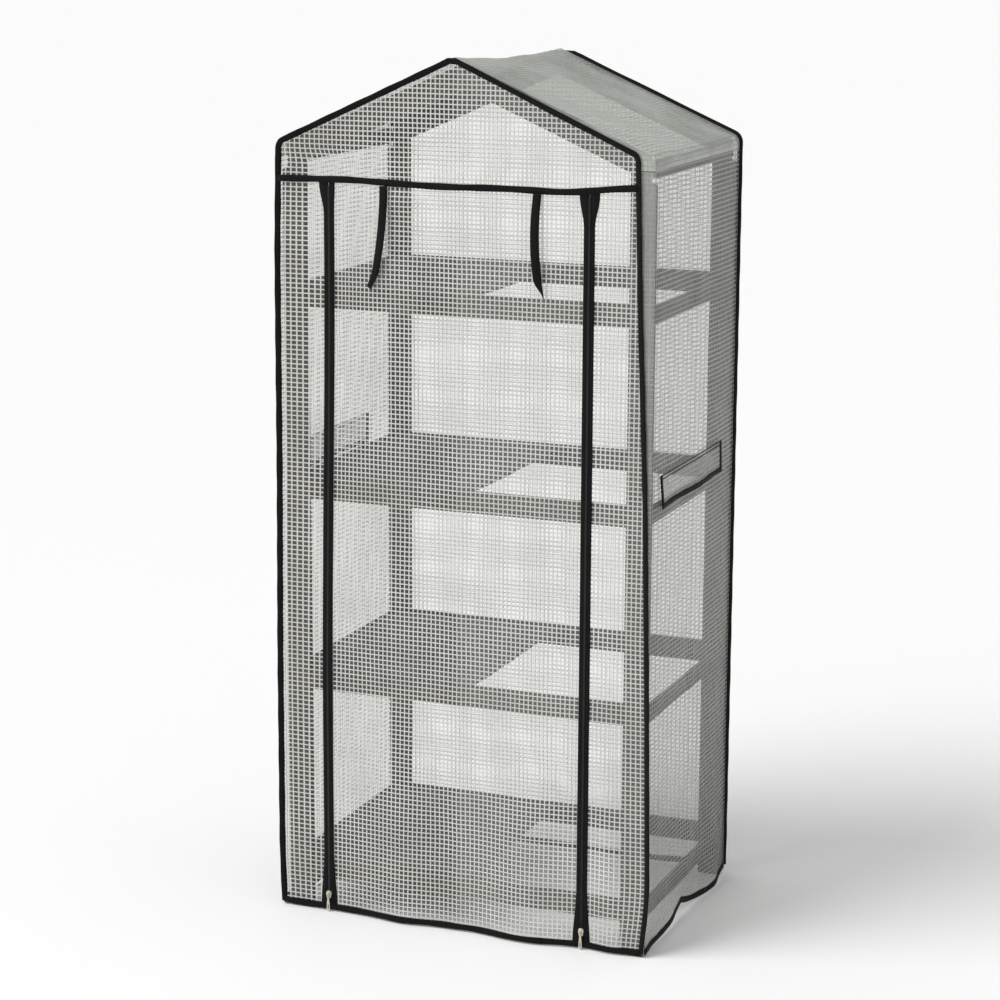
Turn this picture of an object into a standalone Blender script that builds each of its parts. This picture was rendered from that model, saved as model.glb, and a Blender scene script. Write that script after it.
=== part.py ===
"""Mini pop up greenhouse: a four tier frame of flat bars under a clear reinforced cover.

A flat front frame and a flat back frame are joined by five levels of side rails. Each side rail is two
halves, hinged to the frames at the corners and to each other in the middle, so the sides fold inward and
the back frame closes up against the front frame. The cover's panels move with the frame parts that they
lie on. The door rolls up to the seam under the gable, and a zip slider with a pull runs on each side of it.

Metres. X runs across the front, Y from front to back and Z up. The origin is on the floor, in the middle.
"""

import math

import bmesh
import bpy
from mathutils import Vector

# Overall sizes of the frame
FRAME_WIDTH = 0.690
FRAME_DEPTH = 0.466
EAVE_HEIGHT = 1.410
GABLE_RISE = 0.150
RAIL_TOPS = (0.100, 0.460, 0.815, 1.162)

# Flat bars of the front and back frames
UPRIGHT_WIDTH = 0.044
BAR_DEPTH = 0.014
RAIL_HEIGHT = 0.039
RAIL_DEPTH = 0.012
RAFTER_WIDTH = 0.040
RAFTER_SHORTFALL = 0.010
EDGE_ROUNDING = 0.0018

# Folding side rails
SIDE_RAIL_HEIGHT = 0.028
SIDE_RAIL_THICKNESS = 0.012
SIDE_RAIL_INSET = 0.001
SIDE_RAIL_DROP = 0.005
EAVE_RAIL_DROP = 0.008
BARREL_RADIUS = 0.0045
BARREL_HEIGHT = 0.018
FOLD_ROOM = 0.008

# Fabric of the cover and the shelves
COVER_THICKNESS = 0.001
COVER_CLEARANCE = 0.0015
EAVE_RADIUS = 0.018
ROOF_DROP = 0.010
HEM_CLEARANCE = 0.003
SHELF_THICKNESS = 0.0015
SHELF_DROP = 0.003
SHELF_RIGHT_EDGE = 0.010
SHELF_CORNER_RADIUS = 0.030

# Door, its zips and its ties
DOOR_LEFT = -0.2645
DOOR_RIGHT = 0.2305
SEAM_DROP = 0.065
DOOR_GAP = 0.0008
DOOR_HEM_HEIGHT = 0.011
DOOR_HEM_THICKNESS = 0.003
SLIDER_WIDTH = 0.009
SLIDER_HEIGHT = 0.014
SLIDER_DEPTH = 0.0045
SLIDER_OVERLAP = 0.009
PULL_WIDTH = 0.006
PULL_LENGTH = 0.033
PULL_THICKNESS = 0.0015
PULL_FOOT = 0.002
TIE_WIDTH = 0.015
TIE_LENGTH = 0.180
TIE_THICKNESS = 0.001
TIE_CENTRES = {"left": -0.148, "right": 0.137}
TIE_LEANS = {"left": -0.020, "right": 0.008}

# Flap that hangs on each side panel
FLAP_REACH = {"front": 0.205, "rear": 0.145}
FLAP_HEIGHT = 0.060
FLAP_TOP = 0.867
FLAP_CLEARANCE = 0.0006

# Space left between pieces that touch, and between pieces that slide on each other
GAP = 0.0003
HINGE_CLEARANCE = 0.0005
SLIDE_CLEARANCE = 0.001

# Planes and heights that follow from the sizes above
RIDGE_HEIGHT = EAVE_HEIGHT + GABLE_RISE
SEAM_HEIGHT = EAVE_HEIGHT - SEAM_DROP
HALF_WIDTH = FRAME_WIDTH / 2
HALF_DEPTH = FRAME_DEPTH / 2
COVER_HALF_WIDTH = HALF_WIDTH + COVER_CLEARANCE + COVER_THICKNESS
COVER_HALF_DEPTH = HALF_DEPTH + COVER_CLEARANCE + COVER_THICKNESS
ROOF_ANGLE = math.atan2(GABLE_RISE, COVER_HALF_WIDTH)
ROOF_SLOPE = math.tan(ROOF_ANGLE)
EAVE_CENTRE_X = COVER_HALF_WIDTH - EAVE_RADIUS
EAVE_CENTRE_Z = EAVE_HEIGHT - EAVE_RADIUS * (1 - math.sin(ROOF_ANGLE)) / math.cos(ROOF_ANGLE)
ROOF_LOW = EAVE_CENTRE_Z - ROOF_DROP
RAFTER_TOP = RIDGE_HEIGHT - (COVER_CLEARANCE + COVER_THICKNESS) / math.cos(ROOF_ANGLE)
RAFTER_DROP = RAFTER_WIDTH / math.cos(ROOF_ANGLE)
CORNER_HINGE_X = HALF_WIDTH - SIDE_RAIL_INSET - SIDE_RAIL_THICKNESS
CORNER_HINGE_Y = HALF_DEPTH - BAR_DEPTH - BARREL_RADIUS - HINGE_CLEARANCE
MIDDLE_HINGE_X = HALF_WIDTH - SIDE_RAIL_INSET + FOLD_ROOM
SLIDER_FRONT = -COVER_HALF_DEPTH - SLIDE_CLEARANCE - SLIDER_DEPTH
PULL_HINGE_Y = SLIDER_FRONT - HINGE_CLEARANCE - PULL_THICKNESS / 2
PULL_HINGE_Z = PULL_FOOT + PULL_LENGTH - PULL_THICKNESS / 2
SLIDER_BOTTOM = PULL_FOOT + PULL_LENGTH - SLIDER_OVERLAP
SIDES = (("left", -1), ("right", 1))
ENDS = (("front", -1), ("rear", 1))


def new_collection(name):
    collection = bpy.data.collections.new(name)
    bpy.context.scene.collection.children.link(collection)
    return collection


def material(name, colour, roughness, metallic=0.0, alpha=1.0):
    made = bpy.data.materials.new(name)
    made.use_nodes = True
    made.diffuse_color = (*colour, alpha)
    shader = made.node_tree.nodes["Principled BSDF"]
    shader.inputs["Base Color"].default_value = (*colour, 1.0)
    shader.inputs["Roughness"].default_value = roughness
    shader.inputs["Metallic"].default_value = metallic
    shader.inputs["Alpha"].default_value = alpha
    return made


def origin_of(parent):
    """Where a parent's own origin is in the world. No parent is turned, so places add up."""
    place = Vector()
    while parent:
        place += parent.location
        parent = parent.parent
    return place


def empty(name, place, parent=None):
    """A parent for the pieces of one moving body, standing on its joint's axis."""
    made = bpy.data.objects.new(name, None)
    made.parent = parent
    made.location = Vector(place) - origin_of(parent)
    made.empty_display_size = 0.03
    parts.objects.link(made)
    return made


def add_piece(name, mesh, centre, finish, parent=None):
    """An object with this mesh, whose own origin is at centre in the world."""
    piece = bpy.data.objects.new(name, mesh)
    parts.objects.link(piece)
    mesh.materials.append(finish)
    piece.parent = parent
    piece.location = Vector(centre) - origin_of(parent)
    return piece


def box_mesh(name, size):
    """A box around its own origin."""
    work = bmesh.new()
    bmesh.ops.create_cube(work, size=1.0)
    bmesh.ops.scale(work, vec=size, verts=work.verts)
    mesh = bpy.data.meshes.new(name)
    work.to_mesh(mesh)
    work.free()
    return mesh


def box(name, low, high, finish, parent=None, rounding=0.0):
    """A box from its low corner to its high corner, with rounded edges if rounding is given."""
    low = Vector(low)
    high = Vector(high)
    piece = add_piece(name, box_mesh(name, high - low), (low + high) / 2, finish, parent)
    if rounding:
        round_edges(piece, rounding)
    return piece


def round_edges(piece, width):
    bevel = piece.modifiers.new("rounding", "BEVEL")
    bevel.width = width
    bevel.segments = 2
    bevel.limit_method = "ANGLE"


def shear(piece, slope, top_only=False):
    """Raises each point by slope times its own X, or only the points of the upper end."""
    for vertex in piece.data.vertices:
        if vertex.co.z > 0 or not top_only:
            vertex.co.z += slope * vertex.co.x


def flat_outline(name, points, thickness, centre, finish, level=False, parent=None):
    """A flat sheet with this outline, standing in a plane across Y, or lying level."""
    curve = bpy.data.curves.new(name, "CURVE")
    curve.dimensions = "2D"
    curve.fill_mode = "BOTH"
    curve.extrude = thickness / 2
    spline = curve.splines.new("POLY")
    spline.points.add(len(points) - 1)
    for point, place in zip(spline.points, points):
        point.co = (*place, 0.0, 1.0)
    spline.use_cyclic_u = True
    outline = bpy.data.objects.new(name, curve)
    parts.objects.link(outline)
    bpy.context.view_layer.update()
    evaluated = outline.evaluated_get(bpy.context.evaluated_depsgraph_get())
    mesh = bpy.data.meshes.new_from_object(evaluated)
    bpy.data.objects.remove(outline)
    work = bmesh.new()
    work.from_mesh(mesh)
    bmesh.ops.remove_doubles(work, verts=work.verts, dist=0.00001)
    work.to_mesh(mesh)
    work.free()
    sheet = add_piece(name, mesh, centre, finish, parent)
    if not level:
        sheet.rotation_euler.x = math.pi / 2
    return sheet


def join(piece, mesh, place):
    """Joins a shape to a piece with a Boolean, and keeps the shape among the cutters."""
    tool = bpy.data.objects.new(f"{piece.name}_join_{len(piece.modifiers)}", mesh)
    tool.location = place
    tool.hide_render = True
    tool.display_type = "WIRE"
    cutters.objects.link(tool)
    union = piece.modifiers.new("join", "BOOLEAN")
    union.operation = "UNION"
    union.object = tool


def join_box(piece, low, high):
    """Joins a box to a piece, from the box's low corner to its high corner."""
    low = Vector(low)
    high = Vector(high)
    join(piece, box_mesh(f"{piece.name}_box", high - low), (low + high) / 2)


def roof_half(inset):
    """One half of the gable line seen from the front, from the eave's lower end up to the ridge."""
    steps = 6
    line = [(COVER_HALF_WIDTH - inset, ROOF_LOW)]
    for step in range(steps + 1):
        turn = (math.pi / 2 - ROOF_ANGLE) * step / steps
        radius = EAVE_RADIUS - inset
        line.append((EAVE_CENTRE_X + radius * math.cos(turn), EAVE_CENTRE_Z + radius * math.sin(turn)))
    line.append((0.0, RIDGE_HEIGHT - inset / math.cos(ROOF_ANGLE)))
    return line


def roof_line(inset):
    """The whole gable line, from the right eave over the ridge to the left eave."""
    half = roof_half(inset)
    return half + [(-x, z) for x, z in reversed(half[:-1])]


def make_end_frame(end, side_y, parent):
    """The front or back frame: two uprights, four rails and two rafters, all flat bars."""
    middle_y = side_y * (HALF_DEPTH - BAR_DEPTH / 2)
    bar_low = middle_y - BAR_DEPTH / 2
    bar_high = middle_y + BAR_DEPTH / 2
    rail_low = middle_y - RAIL_DEPTH / 2
    rail_high = middle_y + RAIL_DEPTH / 2
    inner = HALF_WIDTH - UPRIGHT_WIDTH
    top = RAFTER_TOP - RAFTER_DROP - GAP - ROOF_SLOPE * (HALF_WIDTH - UPRIGHT_WIDTH / 2)
    for side, sign in SIDES:
        near, far = sorted((sign * inner, sign * HALF_WIDTH))
        upright = box(
            f"{end}_{side}_upright", (near, bar_low, 0), (far, bar_high, top), bar_finish, parent,
            EDGE_ROUNDING,
        )
        shear(upright, -sign * ROOF_SLOPE, top_only=True)
        rafter_end = HALF_WIDTH - RAFTER_SHORTFALL
        middle = (rafter_end + GAP) / 2
        high = RAFTER_TOP - ROOF_SLOPE * middle
        near, far = sorted((sign * GAP, sign * rafter_end))
        rafter = box(
            f"{end}_{side}_rafter", (near, bar_low, high - RAFTER_DROP), (far, bar_high, high), bar_finish,
            parent, EDGE_ROUNDING,
        )
        shear(rafter, -sign * ROOF_SLOPE)
    for number, rail_top in enumerate(RAIL_TOPS, 1):
        low = (-inner + GAP, rail_low, rail_top - RAIL_HEIGHT)
        high = (inner - GAP, rail_high, rail_top)
        box(f"{end}_rail_{number}", low, high, bar_finish, parent, EDGE_ROUNDING)


def make_side_rails(side, sign, end, side_y, parent):
    """Half of each side rail on one side, with the barrel of its corner hinge."""
    outer = HALF_WIDTH - SIDE_RAIL_INSET
    levels = [top - SIDE_RAIL_DROP for top in RAIL_TOPS] + [EAVE_HEIGHT - EAVE_RAIL_DROP]
    names = [str(number) for number in range(1, len(RAIL_TOPS) + 1)] + ["eave"]
    near_x, far_x = sorted((sign * (outer - SIDE_RAIL_THICKNESS), sign * outer))
    near_y, far_y = sorted((side_y * GAP, side_y * CORNER_HINGE_Y))
    for level, name in zip(levels, names):
        low = level - SIDE_RAIL_HEIGHT
        rail = box(
            f"{side}_{end}_rail_{name}", (near_x, near_y, low), (far_x, far_y, level), bar_finish, parent,
            EDGE_ROUNDING,
        )
        place = (sign * CORNER_HINGE_X, side_y * CORNER_HINGE_Y, level - SIDE_RAIL_HEIGHT / 2)
        join(rail, barrel_mesh, place)


def make_barrel_mesh():
    """The hinge barrel that all the corner hinges share."""
    work = bmesh.new()
    bmesh.ops.create_cone(
        work, cap_ends=True, segments=12, radius1=BARREL_RADIUS, radius2=BARREL_RADIUS, depth=BARREL_HEIGHT
    )
    mesh = bpy.data.meshes.new("hinge_barrel")
    work.to_mesh(mesh)
    work.free()
    return mesh


def make_shelf(number, rail_top):
    """A taut fabric panel over the left half of one tier, with a rounded corner at the back rail."""
    half_depth = HALF_DEPTH - BAR_DEPTH - GAP
    left = -CORNER_HINGE_X + BARREL_RADIUS + SLIDE_CLEARANCE
    points = [(left, -half_depth), (SHELF_RIGHT_EDGE, -half_depth)]
    steps = 5
    for step in range(steps + 1):
        turn = math.pi / 2 * step / steps
        x = SHELF_RIGHT_EDGE + SHELF_CORNER_RADIUS * (1 - math.cos(turn))
        y = half_depth - SHELF_CORNER_RADIUS * (1 - math.sin(turn))
        points.append((x, y))
    points.append((left, half_depth))
    height = rail_top - SHELF_DROP - SHELF_THICKNESS / 2
    flat_outline(f"shelf_panel_{number}", points, SHELF_THICKNESS, (0, 0, height), shelf_finish, level=True)


def make_cover_end(name, side_y, parent, door=False):
    """The front or back panel of the cover, with a return round each corner of the frame."""
    points = [(COVER_HALF_WIDTH, HEM_CLEARANCE)] + roof_line(0.0) + [(-COVER_HALF_WIDTH, HEM_CLEARANCE)]
    if door:
        points += [
            (DOOR_LEFT, HEM_CLEARANCE), (DOOR_LEFT, SEAM_HEIGHT), (DOOR_RIGHT, SEAM_HEIGHT),
            (DOOR_RIGHT, HEM_CLEARANCE),
        ]
    centre_y = side_y * (COVER_HALF_DEPTH - COVER_THICKNESS / 2)
    panel = flat_outline(name, points, COVER_THICKNESS, (0, centre_y, 0), cover_finish, parent=parent)
    step = COVER_THICKNESS / 5
    hinge_side = side_y * (CORNER_HINGE_Y + HINGE_CLEARANCE)
    near_y, far_y = sorted((hinge_side, side_y * (COVER_HALF_DEPTH - step)))
    for _, sign in SIDES:
        near_x, far_x = sorted(
            (sign * (COVER_HALF_WIDTH - step), sign * (COVER_HALF_WIDTH - step - COVER_THICKNESS))
        )
        join_box(panel, (near_x, near_y, HEM_CLEARANCE + step), (far_x, far_y, ROOF_LOW - GAP))


def make_cover_side(side, sign, end, side_y, parent):
    """Half of one side panel of the cover, from the corner hinge to the fold in the middle."""
    near_x, far_x = sorted((sign * COVER_HALF_WIDTH, sign * (COVER_HALF_WIDTH - COVER_THICKNESS)))
    near_y, far_y = sorted((side_y * GAP, side_y * CORNER_HINGE_Y))
    low = (near_x, near_y, HEM_CLEARANCE)
    high = (far_x, far_y, ROOF_LOW - GAP)
    box(f"cover_{side}_{end}", low, high, cover_finish, parent)


def make_roof():
    """The roof of the cover: one sheet over the ridge, bent down at both eaves."""
    points = roof_line(0.0) + list(reversed(roof_line(COVER_THICKNESS)))
    length = 2 * (COVER_HALF_DEPTH - COVER_THICKNESS - GAP)
    flat_outline("cover_roof", points, length, (0, 0, 0), cover_finish)


def make_flap(side, sign, end, side_y, rails):
    """Half of the flap on one side, hanging from its top edge."""
    hinge_x = sign * (COVER_HALF_WIDTH + FLAP_CLEARANCE + COVER_THICKNESS / 2)
    parent = empty(f"{side}_{end}_flap_hinge", (hinge_x, 0, FLAP_TOP), rails)
    half = COVER_THICKNESS / 2
    near_y, far_y = sorted((side_y * GAP, side_y * FLAP_REACH[end]))
    low = (hinge_x - half, near_y, FLAP_TOP - FLAP_HEIGHT)
    high = (hinge_x + half, far_y, FLAP_TOP - half)
    box(f"flap_{side}_{end}", low, high, cover_finish, parent)


def make_door(parent):
    """The door panel below the seam and the bound hem along its bottom edge."""
    left = DOOR_LEFT + DOOR_GAP
    right = DOOR_RIGHT - DOOR_GAP
    front = -COVER_HALF_DEPTH
    hem_top = HEM_CLEARANCE + DOOR_HEM_HEIGHT
    low = (left, front, hem_top + GAP)
    high = (right, front + COVER_THICKNESS, SEAM_HEIGHT - GAP)
    box("door_panel", low, high, cover_finish, parent)
    middle = front + COVER_THICKNESS / 2
    low = (left, middle - DOOR_HEM_THICKNESS / 2, HEM_CLEARANCE)
    high = (right, middle + DOOR_HEM_THICKNESS / 2, hem_top)
    box("door_hem", low, high, binding_finish, parent)


def make_zip(side, x):
    """The slider of one zip and the pull that hangs on its front."""
    slider_parent = empty(f"{side}_zip_slide", (x, SLIDER_FRONT, SLIDER_BOTTOM))
    low = (x - SLIDER_WIDTH / 2, SLIDER_FRONT, SLIDER_BOTTOM)
    high = (x + SLIDER_WIDTH / 2, SLIDER_FRONT + SLIDER_DEPTH, SLIDER_BOTTOM + SLIDER_HEIGHT)
    box(f"zip_slider_{side}", low, high, zip_finish, slider_parent, SLIDER_DEPTH / 5)
    pull_parent = empty(f"{side}_pull_hinge", (x, PULL_HINGE_Y, PULL_HINGE_Z), slider_parent)
    top = PULL_HINGE_Z + PULL_THICKNESS / 2
    low = (x - PULL_WIDTH / 2, PULL_HINGE_Y - PULL_THICKNESS / 2, top - PULL_LENGTH)
    high = (x + PULL_WIDTH / 2, PULL_HINGE_Y + PULL_THICKNESS / 2, top)
    box(f"zip_pull_{side}", low, high, zip_finish, pull_parent)


def make_tie(side):
    """A ribbon hanging from the seam in front of the door, to hold the rolled door."""
    x = TIE_CENTRES[side]
    middle = -COVER_HALF_DEPTH - DOOR_HEM_THICKNESS / 2 - SLIDE_CLEARANCE
    low = (x - TIE_WIDTH / 2, middle - TIE_THICKNESS, SEAM_HEIGHT - TIE_LENGTH)
    high = (x + TIE_WIDTH / 2, middle, SEAM_HEIGHT)
    ribbon = box(f"tie_{side}", low, high, binding_finish)
    for vertex in ribbon.data.vertices:
        if vertex.co.z < 0:
            vertex.co.x += TIE_LEANS[side]


def make_side(side, sign):
    """One folding side: its front half on the corner hinge and its rear half on the middle hinge."""
    places = {"front": (sign * CORNER_HINGE_X, -CORNER_HINGE_Y, 0), "rear": (sign * MIDDLE_HINGE_X, 0, 0)}
    rails = None
    for end, side_y in ENDS:
        rails = empty(f"{side}_{end}_fold", places[end], rails)
        make_side_rails(side, sign, end, side_y, rails)
        make_cover_side(side, sign, end, side_y, rails)
        make_flap(side, sign, end, side_y, rails)
    return rails


for old in list(bpy.data.objects):
    bpy.data.objects.remove(old)
parts = new_collection("mini_pop_up_greenhouse")
cutters = new_collection("cutters")

bar_finish = material("bar", (0.085, 0.078, 0.058), 0.62)
shelf_finish = material("shelf_fabric", (0.075, 0.078, 0.072), 0.85)
cover_finish = material("cover_fabric", (0.80, 0.82, 0.80), 0.35, alpha=0.45)
binding_finish = material("binding", (0.012, 0.012, 0.014), 0.80)
zip_finish = material("zip_metal", (0.60, 0.56, 0.46), 0.32, metallic=1.0)

barrel_mesh = make_barrel_mesh()
rear_halves = {side: make_side(side, sign) for side, sign in SIDES}
back_parent = empty("back_fold", (-CORNER_HINGE_X, CORNER_HINGE_Y, 0), rear_halves["left"])
door_parent = empty("door_slide", (0, -COVER_HALF_DEPTH, HEM_CLEARANCE))

make_end_frame("front", -1, None)
make_end_frame("back", 1, back_parent)
for tier, tier_top in enumerate(RAIL_TOPS, 1):
    make_shelf(tier, tier_top)
make_cover_end("cover_front", -1, None, door=True)
make_cover_end("cover_back", 1, back_parent)
make_roof()
make_door(door_parent)
make_zip("left", DOOR_LEFT)
make_zip("right", DOOR_RIGHT)
for side_name, _ in SIDES:
    make_tie(side_name)
bpy.context.view_layer.update()
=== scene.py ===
"""Mini pop up greenhouse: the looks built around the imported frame.

The cover is sewn from clear sheet with a white thread grid laminated in it. Every sheet of it here is a mesh
whose faces follow that grid: the threads and the clear windows between them have their own materials. Metres,
Z up, X across the front and Y from front to back. The sewn front edge is what pulls the cover out of square.
"""

import math
import random

import bmesh
import bpy
import numpy as np
from mathutils import Matrix, Vector


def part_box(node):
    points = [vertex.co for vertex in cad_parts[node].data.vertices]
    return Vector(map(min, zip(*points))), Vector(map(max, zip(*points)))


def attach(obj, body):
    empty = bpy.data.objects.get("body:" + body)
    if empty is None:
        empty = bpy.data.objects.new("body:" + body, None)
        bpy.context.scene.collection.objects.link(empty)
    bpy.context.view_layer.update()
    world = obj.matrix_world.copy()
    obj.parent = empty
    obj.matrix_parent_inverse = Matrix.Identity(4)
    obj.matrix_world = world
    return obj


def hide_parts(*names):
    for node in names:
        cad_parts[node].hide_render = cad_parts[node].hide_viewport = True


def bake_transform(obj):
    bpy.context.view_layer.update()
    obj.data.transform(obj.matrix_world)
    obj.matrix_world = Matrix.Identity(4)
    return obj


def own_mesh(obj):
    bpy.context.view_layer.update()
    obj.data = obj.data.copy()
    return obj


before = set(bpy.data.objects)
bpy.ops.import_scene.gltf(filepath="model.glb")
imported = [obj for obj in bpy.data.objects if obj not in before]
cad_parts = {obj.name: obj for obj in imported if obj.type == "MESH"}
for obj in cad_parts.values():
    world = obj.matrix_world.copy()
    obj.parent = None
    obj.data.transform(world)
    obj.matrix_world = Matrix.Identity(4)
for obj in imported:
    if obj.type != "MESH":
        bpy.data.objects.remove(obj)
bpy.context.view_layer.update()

# Planes and heights of the frame that the cover follows
cover_low, cover_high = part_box("cover_front")
door_low, door_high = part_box("door_panel")
DOOR_GAP = 0.0008
SEAM_GAP = 0.0003
HALF_WIDTH = cover_high.x
HALF_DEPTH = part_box("cover_back")[1].y
DEPTH = 2 * HALF_DEPTH
HEM = cover_low.z
RIDGE = cover_high.z
SIDE_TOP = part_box("cover_right_front")[1].z
SEAM = door_high.z + SEAM_GAP
DOOR_LEFT = door_low.x - DOOR_GAP
DOOR_RIGHT = door_high.x + DOOR_GAP
EAVE = 1.410
EAVE_RADIUS = 0.018
ROOF_ANGLE = math.atan2(RIDGE - EAVE, HALF_WIDTH)
ROOF_SLOPE = math.tan(ROOF_ANGLE)
EAVE_CENTRE_X = HALF_WIDTH - EAVE_RADIUS
EAVE_CENTRE_Z = EAVE - EAVE_RADIUS * (1 - math.sin(ROOF_ANGLE)) / math.cos(ROOF_ANGLE)

# The sheet's thread grid, the front's middle crease, and the tapes
PITCH = 0.0085
THREAD = 0.0023
CREASE_X = -0.009
BINDING_WIDTH = 0.0115
BINDING_THICKNESS = 0.0024
BINDING_TILT = math.radians(25)
BACK_TILT = math.radians(40)
CLOTH_INSET = 0.0004
FRONT_CLOTH = -HALF_DEPTH + CLOTH_INSET
BACK_CLOTH = HALF_DEPTH - CLOTH_INSET
SEWN_INSET = BINDING_WIDTH * 0.45
ZIP_TAPE_WIDTH = 0.0098
TAPE_SIDES = 8
TAPE_ROUNDING = 0.90
TIE_WIDTH = 0.0155
STITCH_WIDTH = 0.0018

# Where the sewn front edge runs, as (height, distance from the middle): pulled in at the top on the right,
# and flared at the foot on both sides
SEAM_RIGHT = ((0.003, 0.345), (0.10, 0.3570), (0.475, 0.3500), (0.83, 0.3410), (1.17, 0.3265), (1.41, 0.3195))
SEAM_LEFT = ((0.003, 0.3600), (0.10, 0.3640), (0.475, 0.3635), (0.83, 0.3600), (1.22, 0.3590), (1.41, 0.3545))
FRONT_APEX = (-0.018, 1.5680)
CORNER_LIFT = 0.005
BACK_APEX_DROP = 0.009
BACK_CORNER_RISE = 0.009
SEAM_RISE = 0.005
SEAM_LIFT_RIGHT = 0.011

# The door's two swells at its foot and the right strip's one, as (middle, width, depth)
DOOR_SWELLS = ((0.135, 0.075, 0.020), (-0.115, 0.06, 0.010))
STRIP_SWELL = (0.285, 0.03, 0.007)

# How far a side's corner sheets reach along it
CORNER_REACH = 0.125

# The shelf cloths' right edge, and the curve that leads it to the back rail
SHELF_RIGHT = 0.010
SHELF_CURVE = 0.030
SHELF_GRID = 0.009

SIDES = (("left", -1), ("right", 1))


# ---------------------------------------------------------------- materials


class Graph:
    """One material's nodes, with the building blocks that the materials here share."""

    def __init__(self, name):
        self.material = bpy.data.materials.new(name)
        self.material.use_nodes = True
        self.nodes = self.material.node_tree.nodes
        self.links = self.material.node_tree.links
        self.nodes.clear()
        self.output = self.nodes.new("ShaderNodeOutputMaterial")

    def put(self, socket, value):
        """Links a socket to another one's output, or sets it to a number or a colour."""
        if isinstance(value, bpy.types.NodeSocket):
            self.links.new(value, socket)
        else:
            socket.default_value = value

    def node(self, kind, **values):
        """A node of the kind. A value's name is its input's name, with _ for each space."""
        made = self.nodes.new(f"ShaderNode{kind}")
        for name, value in values.items():
            self.put(made.inputs[name.replace("_", " ")], value)
        return made

    def flat(self):
        """The sheet's own flat coordinates in metres."""
        uv = self.nodes.new("ShaderNodeUVMap")
        uv.uv_map = "Flat"
        return uv.outputs["UV"]

    def solid(self):
        return self.node("TexCoord").outputs["Object"]

    def noise(self, vector, scale, detail, roughness):
        made = self.node("TexNoise", Vector=vector, Scale=scale, Detail=detail, Roughness=roughness)
        return made.outputs["Fac"]

    def ribs(self, vector, across, per_metre):
        """A wave across one direction, as the yarns of a tape or a weave make."""
        wave = self.node("TexWave", Vector=vector, Scale=per_metre / 20.0, Distortion=0.4, Detail=1.0)
        wave.bands_direction = across
        wave.wave_profile = "SIN"
        return wave.outputs["Fac"]

    def ramp(self, factor, low, high):
        """A colour that goes from low to high as factor goes from 0.35 to 0.65."""
        made = self.node("ValToRGB", Fac=factor)
        for element, place, colour in zip(made.color_ramp.elements, (0.35, 0.65), (low, high)):
            element.position = place
            element.color = (*colour, 1.0)
        return made.outputs["Color"]

    def spread(self, factor, low, high):
        """A number that goes from low to high as factor goes from 0.3 to 0.7."""
        made = self.node("MapRange", Value=factor, From_Min=0.3, From_Max=0.7, To_Min=low, To_Max=high)
        return made.outputs["Result"]

    def bump(self, height, strength, distance):
        return self.node("Bump", Strength=strength, Distance=distance, Height=height).outputs["Normal"]

    def math(self, operation, first, second):
        made = self.nodes.new("ShaderNodeMath")
        made.operation = operation
        self.put(made.inputs[0], first)
        self.put(made.inputs[1], second)
        return made.outputs["Value"]

    def skin(self, colour, roughness, normal=None, **values):
        """A Principled surface."""
        if normal is not None:
            values["Normal"] = normal
        made = self.node("BsdfPrincipled", Base_Color=colour, Roughness=roughness, **values)
        return made.outputs["BSDF"]

    def mixed(self, factor, first, second):
        made = self.node("MixShader", Fac=factor)
        self.put(made.inputs[1], first)
        self.put(made.inputs[2], second)
        return made.outputs["Shader"]

    def finish(self, shader):
        self.links.new(shader, self.output.inputs["Surface"])
        return self.material


def film_material(name, clear, tint, through, step=None):
    """Clear sheet between the threads: see-through, hazy in patches and glossy. step is a place along the
    flat width where the haze changes, with what it adds below and above."""
    graph = Graph(name)
    flat = graph.flat()
    patches = graph.noise(flat, 7.0, 4.0, 0.6)
    ripples = graph.noise(flat, 55.0, 2.0, 0.5)
    relief = graph.bump(ripples, 0.5, 0.0012)
    colour = graph.ramp(patches, [c * 0.93 for c in tint], tint)
    skin = graph.skin(colour, graph.spread(ripples, 0.14, 0.30), relief, IOR=1.5)
    see = graph.node("BsdfTransparent", Color=(*through, 1.0)).outputs["BSDF"]
    haze = graph.spread(patches, (1 - clear) * 0.6, (1 - clear) * 1.4)
    if step:
        place, below, above = step
        beyond = graph.node("MapRange", To_Min=below, To_Max=above)
        graph.put(beyond.inputs["From Min"], place - 0.005)
        graph.put(beyond.inputs["From Max"], place + 0.005)
        beyond.interpolation_type = "SMOOTHSTEP"
        graph.put(beyond.inputs["Value"], graph.node("SeparateXYZ", Vector=flat).outputs["X"])
        haze = graph.math("ADD", haze, beyond.outputs["Result"])
    shine = graph.node("BsdfGlossy", Roughness=0.16, Normal=relief).outputs["BSDF"]
    facing = graph.node("LayerWeight", Blend=0.25).outputs["Facing"]
    gloss = graph.node("MapRange", Value=facing, To_Min=0.005, To_Max=0.22).outputs["Result"]
    return graph.finish(graph.mixed(gloss, graph.mixed(haze, see, skin), shine))


def thread_material(name, clear, low, high):
    """Flat white plastic thread inside the sheet: it lets some light through."""
    graph = Graph(name)
    flat = graph.flat()
    fibres = graph.noise(flat, 900.0, 2.0, 0.6)
    colour = graph.ramp(graph.noise(flat, 9.0, 3.0, 0.5), low, high)
    skin = graph.skin(colour, graph.spread(fibres, 0.28, 0.42), graph.bump(fibres, 0.35, 0.0004), IOR=1.5)
    glow = graph.node("BsdfTranslucent", Color=colour).outputs["BSDF"]
    see = graph.node("BsdfTransparent").outputs["BSDF"]
    return graph.finish(graph.mixed(1 - clear, see, graph.mixed(0.35, skin, glow)))


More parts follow.
